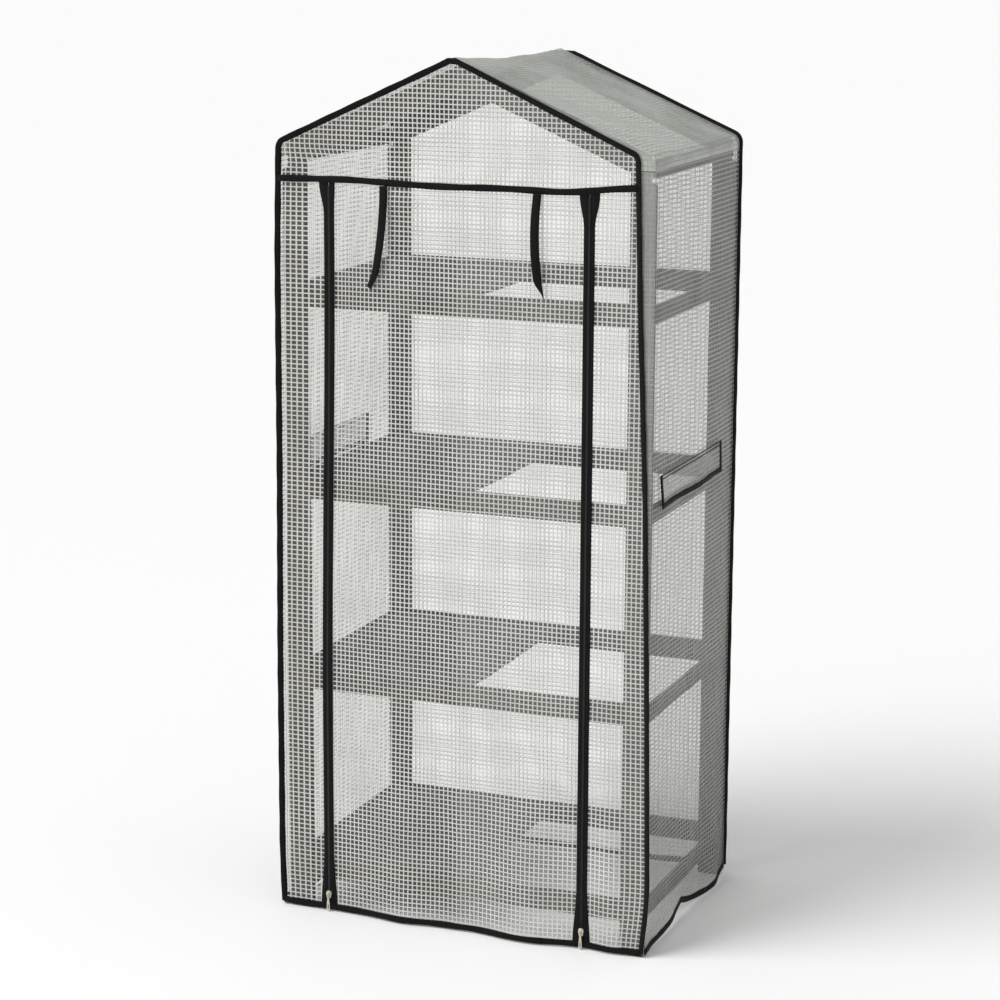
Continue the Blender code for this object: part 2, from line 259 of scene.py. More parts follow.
def cloth_material(name, low, high, roughness, yarns, depth):
    """Woven cloth or tape: two sets of yarns, patches of fading, and a soft sheen."""
    graph = Graph(name)
    flat = graph.flat()
    weave = graph.math("MULTIPLY", graph.ribs(flat, "X", yarns), graph.ribs(flat, "Y", yarns))
    fuzz = graph.noise(flat, 1400.0, 2.0, 0.7)
    relief = graph.bump(graph.math("ADD", weave, fuzz), 0.6, depth)
    colour = graph.ramp(graph.noise(flat, 18.0, 4.0, 0.6), low, high)
    rough = graph.spread(fuzz, roughness - 0.08, roughness + 0.06)
    sheen = {"Sheen_Weight": 0.03, "Sheen_Roughness": 0.5, "Specular_IOR_Level": 0.22}
    return graph.finish(graph.skin(colour, rough, relief, **sheen))


def bar_material():
    """Painted flat bar: dark olive brown, slightly mottled, with rubbed lighter streaks."""
    graph = Graph("painted_bar")
    place = graph.solid()
    grain = graph.noise(place, 420.0, 3.0, 0.6)
    rub = graph.noise(place, 60.0, 6.0, 0.75)
    paint = graph.ramp(graph.noise(place, 14.0, 5.0, 0.6), (0.040, 0.035, 0.024), (0.066, 0.058, 0.041))
    worn = graph.nodes.new("ShaderNodeMix")
    worn.data_type = "RGBA"
    graph.put(worn.inputs["Factor"], graph.spread(rub, -0.35, 0.28))
    graph.put(worn.inputs["A"], paint)
    graph.put(worn.inputs["B"], (0.115, 0.105, 0.082, 1.0))
    relief = graph.bump(grain, 0.25, 0.0004)
    return graph.finish(graph.skin(worn.outputs["Result"], graph.spread(grain, 0.42, 0.62), relief))


def metal_material(name, low, high):
    """Cast and tumbled zip metal, with small scratches."""
    graph = Graph(name)
    place = graph.solid()
    colour = graph.ramp(graph.noise(place, 260.0, 4.0, 0.6), low, high)
    scratch = graph.noise(place, 1500.0, 3.0, 0.7)
    relief = graph.bump(scratch, 0.2, 0.0002)
    return graph.finish(graph.skin(colour, graph.spread(scratch, 0.22, 0.40), relief, Metallic=1.0))


def plastic_material(name, low, high, roughness):
    graph = Graph(name)
    patches = graph.noise(graph.solid(), 40.0, 4.0, 0.6)
    rough = graph.spread(patches, roughness - 0.05, roughness + 0.08)
    return graph.finish(graph.skin(graph.ramp(patches, low, high), rough))


WHITE = ((0.75, 0.75, 0.725), (0.87, 0.87, 0.845))
FRONT = (
    thread_material("thread_front", 0.10, *WHITE),
    film_material("film_front", 0.985, (0.80, 0.80, 0.775), (0.985, 0.985, 0.975), (CREASE_X, 0.0, 0.07)),
)
BACK = (
    thread_material("thread_back", 0.10, *WHITE),
    film_material("film_back", 0.93, (0.80, 0.80, 0.775), (0.98, 0.98, 0.97)),
)
# The side sheets are the same white-thread cover as the front and back. Their grey thread and film colours
# and darker see-through tint are painted shade for the sides' dimmer light and their slant to the view. The
# haze added below 0.001 spreads that painted shade over the strip that wraps onto the front. The flaps take
# the same painted-shade material.
SHADED_SIDE = (
    thread_material("thread_side_painted_shade", 0.12, (0.41, 0.415, 0.395), (0.50, 0.505, 0.48)),
    film_material("film_side_painted_shade", 0.95, (0.52, 0.525, 0.50), (0.82, 0.82, 0.80), (0.001, 0.42, 0.0)),
)
# The roof is the same white-thread cover too. Its thread and film colours and see-through tint, far darker
# than the front's, are painted shade for how the light falls on it and its slant to the view.
SHADED_ROOF = (
    thread_material("thread_roof_painted_shade", 0.06, (0.40, 0.42, 0.375), (0.50, 0.52, 0.47)),
    film_material("film_roof_painted_shade", 0.26, (0.43, 0.455, 0.41), (0.80, 0.825, 0.775)),
)
BLACK_TAPE = cloth_material(
    "black_tape", (0.0012, 0.0012, 0.0013), (0.0032, 0.0032, 0.0034), 0.9, yarns=900, depth=0.0004
)
SHELF_CLOTH = cloth_material(
    "shelf_cloth", (0.085, 0.088, 0.080), (0.125, 0.128, 0.118), 0.70, yarns=420, depth=0.0006
)
BAR = bar_material()
ZIP_METAL = metal_material("zip_metal", (0.52, 0.47, 0.36), (0.72, 0.69, 0.62))
COIL = plastic_material("zip_coil", (0.002, 0.002, 0.0022), (0.005, 0.005, 0.0055), 0.60)


# ---------------------------------------------------------------- the shapes that the cloth follows


def smooth(value):
    value = np.clip(value, 0.0, 1.0)
    return value * value * (3 - 2 * value)


def bell(distance, width):
    """1 at no distance, and next to nothing at twice the width."""
    return np.exp(-((distance / width) ** 2))


def crest(distance, length):
    """1 at no distance, with a sharp crest, fading over the length."""
    return np.exp(-np.abs(distance) / length)


def wrinkles(a, b, seed, size):
    """Gentle uneven waves between -1 and 1 over flat coordinates a and b, about size metres long."""
    draw = random.Random(seed)
    total = np.zeros(np.shape(a))
    for _ in range(9):
        turn = draw.uniform(0, math.pi)
        wave = 2 * math.pi / (size * draw.uniform(0.6, 1.8))
        phase = draw.uniform(0, 2 * math.pi)
        bend = 0.8 * np.sin(3.1 * a + 2.3 * b + phase)
        total = total + np.sin(wave * (a * math.cos(turn) + b * math.sin(turn)) + phase + bend)
    return total / 5.0


def seam_reach(sign, z):
    """How far from the middle the sewn front edge runs at height z on one side."""
    points = SEAM_RIGHT if sign > 0 else SEAM_LEFT
    heights = [p[0] for p in points]
    reaches = [p[1] for p in points]
    z = np.asarray(z, float)
    steps = (-0.04, -0.02, 0.0, 0.02, 0.04)
    return sum(np.interp(z + step, heights, reaches) for step in steps) / len(steps)


def swell(x, middle, width, depth):
    return depth * bell(x - middle, width)


def front_place(x, z):
    """The front of the cover over x and z: the door swells at its foot, a fold line runs down the middle, and
    the cloth beside the left zip leans to the right in its upper part."""
    x = np.asarray(x, float)
    z = np.asarray(z, float)
    low = 1 - smooth(z / 0.62)
    span = (x - DOOR_LEFT) / (DOOR_RIGHT - DOOR_LEFT)
    inside = np.clip(span * (1 - span) * 4, 0, 1) ** 0.5
    lean = 0.011 * smooth((z - 0.35) / 0.9) * bell(x - DOOR_LEFT, 0.05) * smooth((EAVE - z) / 0.04)
    door = sum(swell(x, *place) for place in DOOR_SWELLS)
    strip = swell(x, *STRIP_SWELL) * low
    fold = 0.0036 * crest(x + 0.006, 0.020)
    slack = 0.0022 * (1 + wrinkles(x, z, 3, 0.22)) + 0.0008 * (1 + wrinkles(x, z, 5, 0.06))
    near_seam = smooth(np.abs(z - SEAM) / 0.03)
    out = door * low * inside + strip + fold + slack * inside * near_seam
    left_flare = np.maximum(seam_reach(-1, z) - HALF_WIDTH, 0) * smooth((-x - 0.27) / 0.07)
    right_flare = np.maximum(seam_reach(1, z) - HALF_WIDTH, 0) * smooth((x - 0.26) / 0.08)
    return np.stack([x - left_flare + right_flare + lean, FRONT_CLOTH - out, z], axis=-1)


def corner_rise(z):
    """How much of the hem's climb to a back corner the cover still has at height z."""
    return 1 - smooth((z - HEM) / 0.12)


def back_place(x, z):
    """The back of the cover over x and z, with a little slack between the bars."""
    x = np.asarray(x, float)
    z = np.asarray(z, float)
    inside = np.clip(1 - (np.abs(x) / HALF_WIDTH) ** 4, 0, 1)
    slack = 0.0025 * (1 + wrinkles(x, z, 11, 0.25)) + 0.0008 * (1 + wrinkles(x, z, 12, 0.07))
    fold = 0.003 * crest(x, 0.02)
    foot = 0.006 * (1 - smooth(z / 0.35)) * inside
    z = z + BACK_CORNER_RISE * smooth((np.abs(x) - 0.20) / (HALF_WIDTH - 0.20)) * corner_rise(z)
    return np.stack([x, BACK_CLOTH + slack * inside + fold + foot, z], axis=-1)


def side_place(sign):
    """The side of the cover over q, from the front edge to the back one, and z. Where q is below 0 it lies on
    the front, in to the sewn edge. The hem is drawn in and up at the middle fold."""

    def place(q, z):
        q = np.asarray(q, float)
        z = np.asarray(z, float)
        y = -HALF_DEPTH + np.maximum(q, 0)
        flare = np.maximum(seam_reach(sign, z) - HALF_WIDTH, 0)
        mid = np.abs(y)
        under_eave = smooth((SIDE_TOP - z) / 0.06)
        panel = smooth((HALF_DEPTH - mid) / 0.05) * under_eave
        waves = 0.0016 * wrinkles(q, z, 21 + sign, 0.16)
        slack = (0.0016 + waves + 0.0005 * wrinkles(q, z, 31 + sign, 0.05)) * panel
        fold = 0.0030 * crest(y, 0.018) * under_eave
        foot = 1 - smooth(z / 0.055)
        tuck = 0.012 * foot * bell(mid, 0.05) + 0.004 * foot * panel
        tail = 0.011 * (1 - smooth(z / 0.25)) * bell(y - 0.145, 0.06)
        x = HALF_WIDTH + np.maximum(slack, 0) + fold - tuck + flare * (1 - smooth(q / 0.12)) + tail
        x = x + np.minimum(q, 0)
        raised = 0.018 * crest(y, 0.04) + BACK_CORNER_RISE * smooth((y - 0.15) / (HALF_DEPTH - 0.15))
        z = z + raised * corner_rise(z)
        y = np.where(q < 0, FRONT_CLOTH, y)
        return np.stack([sign * x, y, z], axis=-1)

    return place


def roof_line(p):
    """A point of the gable line and its outward direction, p metres along it from the right side's top."""
    arc = (math.pi / 2 - ROOF_ANGLE) * EAVE_RADIUS
    rise = EAVE_CENTRE_Z - SIDE_TOP
    start_x = EAVE_CENTRE_X + EAVE_RADIUS * math.sin(ROOF_ANGLE)
    slant = start_x / math.cos(ROOF_ANGLE)
    half = rise + arc + slant
    p = np.asarray(p, float)
    sign = np.where(p <= half, 1.0, -1.0)
    d = np.where(p <= half, p, 2 * half - p)
    turn = np.clip((d - rise) / EAVE_RADIUS, 0, math.pi / 2 - ROOF_ANGLE)
    along = np.maximum(d - rise - arc, 0)
    x = EAVE_CENTRE_X + EAVE_RADIUS * np.cos(turn) - along * math.cos(ROOF_ANGLE)
    z = SIDE_TOP + np.minimum(d, rise) + EAVE_RADIUS * np.sin(turn) + along * math.sin(ROOF_ANGLE)
    return sign * x, z, sign * np.cos(turn), np.sin(turn), half


ROOF_HALF = float(roof_line(0.0)[4])
ARC_END_X = EAVE_CENTRE_X + EAVE_RADIUS * math.sin(ROOF_ANGLE)
ARC_END_Z = EAVE_CENTRE_Z + EAVE_RADIUS * math.cos(ROOF_ANGLE)


def front_edge(p):
    """Where the sewn front edge of the roof lies for p along the gable line: its apex sits left of the ridge
    and its right end is pulled in, as on the side."""
    x, z, _, _, _ = roof_line(p)
    sign = np.where(x > 0, 1.0, -1.0)
    pulled = HALF_WIDTH - np.where(x > 0, float(seam_reach(1, EAVE)), float(seam_reach(-1, EAVE)))
    share = np.clip(np.abs(x) / ARC_END_X, 0, 1)
    end_x = sign * (ARC_END_X - pulled)
    slant_x = FRONT_APEX[0] + share * (end_x - FRONT_APEX[0])
    slant_z = FRONT_APEX[1] + share * (ARC_END_Z + CORNER_LIFT - FRONT_APEX[1])
    on_arc = z < ARC_END_Z - 0.00001
    arc_z = z + CORNER_LIFT * smooth((z - SIDE_TOP) / (ARC_END_Z - SIDE_TOP))
    return np.where(on_arc, x - sign * pulled, slant_x), np.where(on_arc, arc_z, slant_z)


def roof_place(p, q):
    """The roof over p, from the right eave to the left one, and q, from the front edge to the back one."""
    q = np.asarray(q, float)
    x, z, out_x, out_z, _ = roof_line(p)
    y = -HALF_DEPTH + np.maximum(q, 0)
    panel = smooth((HALF_DEPTH - np.abs(y)) / 0.06)
    from_eave = np.minimum(p, 2 * ROOF_HALF - p)
    held = smooth(from_eave / 0.05) * smooth((ROOF_HALF - np.abs(p - ROOF_HALF)) / 0.05)
    slack = (0.0008 + 0.0012 * wrinkles(p, q, 41, 0.14) + 0.0004 * wrinkles(p, q, 42, 0.05)) * panel * held
    sag = 0.004 * crest(p - ROOF_HALF, 0.05) * panel
    edge_x, edge_z = front_edge(p)
    share = np.clip(-q / 0.03, 0, 1)
    fading = 1 - smooth(q / 0.20)
    raised = np.where(edge_z > z, fading, 0)
    near_ridge = (1 - np.clip(np.abs(x) / ARC_END_X, 0, 1)) * fading
    new_x = x + out_x * slack + (edge_x - x) * np.maximum(share, near_ridge)
    new_z = z + out_z * slack - sag + (edge_z - z) * np.maximum(share, raised)
    z = new_z - 0.0016 * (1 - smooth(q / 0.12))
    y = np.where(q < 0, FRONT_CLOTH, y)
    return np.stack([new_x, y, z], axis=-1)


# ---------------------------------------------------------------- building pieces


def link(name, mesh, *finishes):
    piece = bpy.data.objects.new(name, mesh)
    bpy.context.scene.collection.objects.link(piece)
    for finish in finishes:
        mesh.materials.append(finish)
    return piece


def piece_of(work, name, *finishes):
    """The bmesh as an object."""
    mesh = bpy.data.meshes.new(name)
    work.to_mesh(mesh)
    work.free()
    return link(name, mesh, *finishes)


def keep_flat(work):
    """Writes each vertex's flat coordinates as UVs, before the sheet is put in place."""
    flat = work.loops.layers.uv.new("Flat")
    for face in work.faces:
        for loop in face.loops:
            loop[flat].uv = loop.vert.co.xy


def lay(piece, place):
    """Moves a flat sheet's vertices to where place puts their flat coordinates."""
    mesh = piece.data
    points = np.zeros(len(mesh.vertices) * 3)
    mesh.vertices.foreach_get("co", points)
    points = points.reshape(-1, 3)
    placed = place(points[:, 0], points[:, 1])
    mesh.vertices.foreach_set("co", placed.astype(np.float32).ravel())
    mesh.update()


def thread_edges(low, high):
    """Where the threads begin and end between low and high, and whether each stretch is a thread."""
    places = [low]
    first = math.floor(low / PITCH) - 1
    last = math.ceil(high / PITCH) + 1
    for number in range(first, last + 1):
        for edge in (number * PITCH - THREAD / 2, number * PITCH + THREAD / 2):
            if low + 0.0002 < edge < high - 0.0002:
                places.append(edge)
    places.append(high)
    middles = [(a + b) / 2 for a, b in zip(places, places[1:])]
    is_thread = [abs(m / PITCH - round(m / PITCH)) * PITCH < THREAD / 2 for m in middles]
    return places, is_thread


def woven(name, across, up, place, finishes, cuts=(), trim=None):
    """A sheet over two flat ranges, with thread and window faces, cut along lines or trimmed to a curved
    edge, and then put in place."""
    columns, column_thread = thread_edges(*across)
    rows, row_thread = thread_edges(*up)
    work = bmesh.new()
    grid = [[work.verts.new((a, b, 0)) for b in rows] for a in columns]
    for i, thread_here in enumerate(column_thread):
        for j, thread_there in enumerate(row_thread):
            face = work.faces.new((grid[i][j], grid[i + 1][j], grid[i + 1][j + 1], grid[i][j + 1]))
            face.material_index = 0 if thread_here or thread_there else 1
            face.smooth = True
    for point, normal in cuts:
        everything = work.verts[:] + work.edges[:] + work.faces[:]
        bmesh.ops.bisect_plane(
            work, geom=everything, dist=0.00001, plane_co=(*point, 0), plane_no=(*normal, 0), clear_outer=True
        )
    if trim:
        for vertex in work.verts:
            vertex.co.x = trim(vertex.co.x, vertex.co.y)
        bmesh.ops.remove_doubles(work, verts=work.verts, dist=0.00002)
    keep_flat(work)
    sheet = piece_of(work, name, *finishes)
    lay(sheet, place)
    return sheet


def tape(name, line, across, width, thickness, finish):
    """A flat tape with round edges along a line. across is the direction of its width, one for all points or
    one for each."""
    line = [Vector(p) for p in line]
    count = len(line)
    widths = np.broadcast_to(width, (count,))
    half_thick = thickness / 2
    edge = half_thick * TAPE_ROUNDING
    corners = [(side / 2 + 0.25) * math.pi / 2 for side in range(TAPE_SIDES)]
    work = bmesh.new()
    flat = work.loops.layers.uv.new("Flat")
    rings = []
    run = 0.0
    runs = []
    for number, point in enumerate(line):
        before = line[max(number - 1, 0)]
        after = line[min(number + 1, count - 1)]
        along = (after - before).normalized()
        wide = Vector(across[number] if hasattr(across[0], "__len__") else across).normalized()
        wide = (wide - along * wide.dot(along)).normalized()
        thick = along.cross(wide).normalized()
        if number:
            run += (point - line[number - 1]).length
        runs.append(run)
        ring = []
        for angle in corners:
            a = math.cos(angle)
            sideways = math.copysign(max(widths[number] / 2 - edge, 0.0), a) + a * edge
            ring.append(work.verts.new(point + wide * sideways + thick * math.sin(angle) * half_thick * 1.08))
        rings.append(ring)
    for number in range(count - 1):
        here, there = rings[number], rings[number + 1]
        step = widths[number] / 4
        for k in range(TAPE_SIDES):
            m = (k + 1) % TAPE_SIDES
            face = work.faces.new((here[k], here[m], there[m], there[k]))
            face.smooth = True
            for loop, (end, side) in zip(face.loops, ((0, 0), (0, 1), (1, 1), (1, 0))):
                loop[flat].uv = (runs[number + end], (k + side) * step)
    work.faces.new(list(reversed(rings[0])))
    work.faces.new(rings[-1])
    bmesh.ops.recalc_face_normals(work, faces=work.faces)
    return piece_of(work, name, finish)


def bind(name, line, across, body=None, width=BINDING_WIDTH, thickness=BINDING_THICKNESS):
    """A black binding along a sewn edge, with the small unevenness of sewn tape."""
    uneven = [width * (1 + 0.06 * math.sin(70 * p[0] + 90 * p[1] + 80 * p[2])) for p in line]
    piece = tape(name, line, across, uneven, thickness, BLACK_TAPE)
    if body:
        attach(piece, body)
    return piece


def spaced(low, high, step):
    """Numbers from low to high, about step apart."""
    count = max(int(round(abs(high - low) / step)), 1)
    return [low + (high - low) * n / count for n in range(count + 1)]


def as_points(placed):
    return [Vector(p) for p in np.asarray(placed)]


# ---------------------------------------------------------------- the cover


def gable_cuts():
    """The two lines that trim the gable under its sewn edge, as a point and an outward normal in x and z."""
    cuts = []
    apex = Vector(FRONT_APEX)
    for sign in (1, -1):
        end_x, end_z = front_edge(ROOF_HALF - sign * (ROOF_HALF - 0.06))
        along = (apex - Vector((float(end_x), float(end_z)))).normalized()
        normal = Vector((along.y, -along.x)) * sign
        cuts.append((tuple(apex - normal * SEWN_INSET), tuple(normal)))
    return cuts


def front_limit(sign, z):
    """How far the front sheet goes from the middle, under the binding."""
    return min(float(seam_reach(sign, z)), HALF_WIDTH) - SEWN_INSET


def declare(piece, body):
    if body:
        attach(piece, body)


def make_front():
    wide = (-front_limit(-1, EAVE), HALF_WIDTH - SEWN_INSET)

    def trim(x, z):
        return min(x, front_limit(1, z))

    gable = woven("front_gable", wide, (SEAM, FRONT_APEX[1]), front_place, FRONT, gable_cuts(), trim)
    declare(gable, "front_frame")
    left = woven("front_strip_left", (wide[0], DOOR_LEFT), (HEM, SEAM), front_place, FRONT)
    width = DOOR_LEFT + float(seam_reach(-1, SEAM / 2))
    declare(left, "front_frame")
    right = woven("front_strip_right", (DOOR_RIGHT, wide[1]), (HEM, SEAM), front_place, FRONT, trim=trim)
    width = float(seam_reach(1, SEAM / 2)) - DOOR_RIGHT
    declare(right, "front_frame")
    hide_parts("cover_front")
    door = woven("door", (DOOR_LEFT, DOOR_RIGHT), (HEM, SEAM), front_place, FRONT)
    declare(door, "front_frame")
    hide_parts("door_panel")
    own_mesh(door)


def hang_on_side(piece, side, part):
    """Bakes a side piece's place into its mesh, except the right rear piece, which rides on the right rear
    rails, as the closed linkage is open at that corner."""
    if part == "front":
        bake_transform(piece)
    elif part == "middle":
        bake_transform(piece)
    elif side == "left":
        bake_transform(piece)
    else:
        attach(piece, "right_rear_rails")


def make_sides():
    """Each side sheet is three pieces that meet on the rails."""
    split = round(CORNER_REACH / PITCH) * PITCH
    far = round((DEPTH - CORNER_REACH) / PITCH) * PITCH
    for side, sign in SIDES:
        place = side_place(sign)
        start = float(seam_reach(sign, EAVE)) - HALF_WIDTH - SEWN_INSET

        def trim(q, z, sign=sign):
            return max(q, front_limit(sign, z) - HALF_WIDTH)

        front = woven(f"side_{side}_front", (start, split), (HEM, SIDE_TOP), place, SHADED_SIDE, trim=trim)
        middle = woven(f"side_{side}_middle", (split, far), (HEM, SIDE_TOP), place, SHADED_SIDE)
        rear = woven(f"side_{side}_rear", (far, DEPTH - 0.001), (HEM, SIDE_TOP), place, SHADED_SIDE)
        widths = (split - start, far - split, DEPTH - far)
        for piece, part, width in zip((front, middle, rear), ("front", "middle", "rear"), widths):
            hang_on_side(piece, side, part)
        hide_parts(f"cover_{side}_front")
        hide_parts(f"cover_{side}_rear")


def make_roof():
    length = 2 * ROOF_HALF
    roof = woven("roof", (0.0, length), (-0.030, DEPTH - 0.001), roof_place, SHADED_ROOF)
    declare(roof, "front_frame")
    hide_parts("cover_roof")
    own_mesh(roof)


def make_back():
    inset = BINDING_WIDTH * 0.3
    cuts = []
    for sign in (1, -1):
        normal = Vector((sign * math.sin(ROOF_ANGLE), math.cos(ROOF_ANGLE)))
        cuts.append((tuple(Vector((0, RIDGE)) - normal * inset), tuple(normal)))
    wide = HALF_WIDTH - 0.001
    back = woven("back_panel", (-wide, wide), (HEM, RIDGE), back_place, BACK, cuts)
    declare(back, "back_frame")
    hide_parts("cover_back")


def gable_steps():
    """Places along the gable line from left to right, close together round the two eaves."""
    length = 2 * ROOF_HALF
    left = spaced(length, length - 0.036, 0.004)
    between = spaced(length - 0.052, 0.052, 0.016)
    right = spaced(0.036, 0.0, 0.004)
    return np.array(left + between + right)


def over_gable(side_line, xs, zs):
    """A whole outline, up the left side, over the gable's points and down the right side. side_line(sign, z)
    is a side's point."""
    heights = spaced(HEM + 0.004, SIDE_TOP - 0.004, 0.02)
    left = [side_line(-1, z) for z in heights]
    right = [side_line(1, z) for z in reversed(heights)]
    return left + list(zip(xs.tolist(), zs.tolist())) + right


def front_outline():
    """The sewn front edge."""
    xs, zs = front_edge(gable_steps())
    return over_gable(lambda sign, z: (sign * float(seam_reach(sign, z)), z), xs, zs)


def back_outline():
    """The sewn back edge, which stands a little proud of the roof and the sides except at the ridge."""
    proud = 0.0005

    def side_line(sign, z):
        return sign * (HALF_WIDTH + proud), z + BACK_CORNER_RISE * float(corner_rise(z))

    xs, zs, out_x, out_z, _ = roof_line(gable_steps())
    xs = xs + out_x * proud
    return over_gable(side_line, xs, zs + out_z * proud - BACK_APEX_DROP * bell(xs, 0.014))


def outward(points):
    """The outward direction at each point of the outline."""
    made = []
    last = len(points) - 1
    for number in range(last + 1):
        before = Vector(points[max(number - 2, 0)])
        after = Vector(points[min(number + 2, last)])
        along = (after - before).normalized()
        made.append(Vector((-along.y, along.x)))
    return made


def make_outlines():
    """The bindings round the front and the back, each on its sheet and tilted towards the sides."""
    for name, points, place, facing, tilt, body in (
        ("front_outline_binding", front_outline(), front_place, -1, BINDING_TILT, "front_frame"),
        ("back_outline_binding", back_outline(), back_place, 1, BACK_TILT, "back_frame"),
    ):
        outs = outward(points)
        line = []
        across = []
        for (x, z), out in zip(points, outs):
            cloth = place(np.array([x - out.x * 0.006]), np.array([z - out.y * 0.006]))[0]
            inset = BINDING_WIDTH * 0.42 * math.cos(tilt) if facing < 0 else 0.0
            line.append(Vector((x - out.x * inset, float(cloth[1]) + facing * 0.0013, z - out.y * inset)))
            across.append(Vector((out.x * math.cos(tilt), facing * math.sin(tilt), out.y * math.cos(tilt))))
        bind(name, line, across, body)


def hem_line(place, low, high, step, lift):
    """Points of the hem between two flat places, lifted off the cloth."""
    runs = np.array(spaced(low, high, step))
    level = np.full(runs.shape, HEM + BINDING_WIDTH / 2)
    return [p + Vector(lift) for p in as_points(place(runs, level))]


def make_hems():
    up = (0, 0, 1)
    proud = 0.0008
    for name, low, high, body in (
        ("front_hem_left", -HALF_WIDTH + 0.004, DOOR_LEFT - 0.0006, "front_frame"),
        ("front_hem_right", DOOR_RIGHT + 0.0006, HALF_WIDTH - 0.004, "front_frame"),
        ("door_hem_binding", DOOR_LEFT + 0.0006, DOOR_RIGHT - 0.0006, "door"),
    ):
        piece = bind(name, hem_line(front_place, low, high, 0.012, (0, -proud, 0)), up, body)
        if body == "door":
            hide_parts("door_hem")
    back = hem_line(back_place, -HALF_WIDTH + 0.003, HALF_WIDTH - 0.003, 0.014, (0, proud, 0))
    bind("back_hem", back, up, "back_frame")
    for side, sign in SIDES:
        for low, high, part in (
            (-0.004, CORNER_REACH, "front"),
            (CORNER_REACH, DEPTH - CORNER_REACH, "middle"),
            (DEPTH - CORNER_REACH, DEPTH - 0.003, "rear"),
        ):
            line = hem_line(side_place(sign), low, high, 0.010, (sign * proud, 0, 0))
            hang_on_side(bind(f"side_hem_{side}_{part}", line, up), side, part)


def make_seam():
    """The bound seam under the gable, that the door hangs from."""
    left = -HALF_WIDTH + 0.003
    right = float(seam_reach(1, SEAM)) - 0.004
    xs = np.array(spaced(left, right, 0.012))
    level = SEAM + SEAM_RISE - 0.003 * smooth((xs + 0.25) / 0.3) + 0.0012 * np.sin(xs * 21.0)
    level = level + SEAM_LIFT_RIGHT * smooth((xs - 0.16) / 0.15)
    line = [p + Vector((0, -0.0016, 0)) for p in as_points(front_place(xs, level))]
    bind("seam_binding", line, (0, 0, 1), "front_frame", thickness=0.0028)


def make_zip(side, x):
    """Both halves of a zip: the woven tapes, which widen where they are sewn in at the ends, and the coil."""
    zs = np.array(spaced(HEM + 0.006, SEAM + 0.005, 0.012))
    top_flare = 0.0085 * (1 - smooth((SEAM - zs) / 0.055))
    foot_flare = 0.0065 * (1 - smooth((zs - HEM) / 0.11))
    inward = 1 if side == "left" else -1
    for half, sign in (("jamb", -inward), ("door", inward)):
        top_share = 0.2 if (side, half) == ("left", "door") else 1.0
        width = ZIP_TAPE_WIDTH + top_share * top_flare + foot_flare
        centres = x + sign * (width / 2 + 0.0002)
        line = [p + Vector((0, -0.0012, 0)) for p in as_points(front_place(centres, zs))]
        cloth = tape(f"zip_tape_{side}_{half}", line, (1, 0, 0), width, 0.0012, BLACK_TAPE)
        for piece in (cloth, make_coil(f"zip_coil_{side}_{half}", x, sign)):
            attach(piece, "front_frame")
            if half == "door":
                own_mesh(piece)


def make_coil(name, x, sign):
    """One half of a zip's coil: a row of small loops along the tape's edge."""
    spacing = 0.0024
    offset = 0.0 if sign > 0 else spacing / 2
    count = int((SEAM - HEM - 0.016) / spacing)
    zs = HEM + 0.012 + offset + np.arange(count) * spacing
    middle = front_place(np.full(count, x + sign * 0.0006), zs)
    shape = bmesh.new()
    bmesh.ops.create_cube(shape, size=1.0)
    bmesh.ops.scale(shape, vec=(0.0036, 0.0013, 0.0011), verts=shape.verts)
    bmesh.ops.bevel(shape, geom=shape.edges[:], offset=0.0003, segments=1, affect="EDGES")
    shape.verts.index_update()
    corners = np.array([v.co for v in shape.verts])
    faces = [[v.index for v in f.verts] for f in shape.faces]
    shape.free()
    points = []
    polygons = []
    for number in range(count):
        base = number * len(corners)
        centre = middle[number] + np.array((0, -0.0024, 0))
        points.extend((corners + centre).tolist())
        polygons.extend([[base + k for k in face] for face in faces])
    mesh = bpy.data.meshes.new(name)
    mesh.from_pydata(points, [], polygons)
    mesh.update()
    return link(name, mesh, COIL)


# ---------------------------------------------------------------- zip sliders and pulls


def add_run(curve, points, cyclic):
    """Adds a run of straight stretches through the points to a curve."""
    spline = curve.splines.new("POLY")
    spline.points.add(len(points) - 1)
    for point, place in zip(spline.points, points):
        point.co = (*place, 1.0)
    spline.use_cyclic_u = cyclic


def mesh_of(curve):
    """The mesh that the curve's bevel makes, shaded smooth."""
    guide = bpy.data.objects.new(curve.name, curve)
    bpy.context.scene.collection.objects.link(guide)
    bpy.context.view_layer.update()
    mesh = bpy.data.meshes.new_from_object(guide.evaluated_get(bpy.context.evaluated_depsgraph_get()))
    bpy.data.objects.remove(guide)
    for polygon in mesh.polygons:
        polygon.use_smooth = True
    return mesh


def plate(name, outline, thickness, centre, bevel, hole=None):
    """A flat cast plate standing across Y, with eased edges and perhaps a hole."""
    curve = bpy.data.curves.new(name, "CURVE")
    curve.dimensions = "2D"
    curve.fill_mode = "BOTH"
    curve.extrude = thickness / 2 - bevel
    curve.bevel_depth = bevel
    curve.bevel_resolution = 2
    for points in [outline] + ([hole] if hole else []):
        add_run(curve, [(x, y, 0.0) for x, y in points], cyclic=True)
    mesh = mesh_of(curve)
    work = bmesh.new()
    work.from_mesh(mesh)
    bmesh.ops.remove_doubles(work, verts=work.verts, dist=0.00001)
    work.to_mesh(mesh)
    work.free()
    mesh.transform(Matrix.Translation(centre) @ Matrix.Rotation(math.pi / 2, 4, "X"))
    return link(name, mesh, ZIP_METAL)


def arc(centre, radius, start, end, steps):
    return [
        (centre[0] + radius * math.cos(a), centre[1] + radius * math.sin(a))
        for a in spaced(start, end, abs(end - start) / steps)
    ]


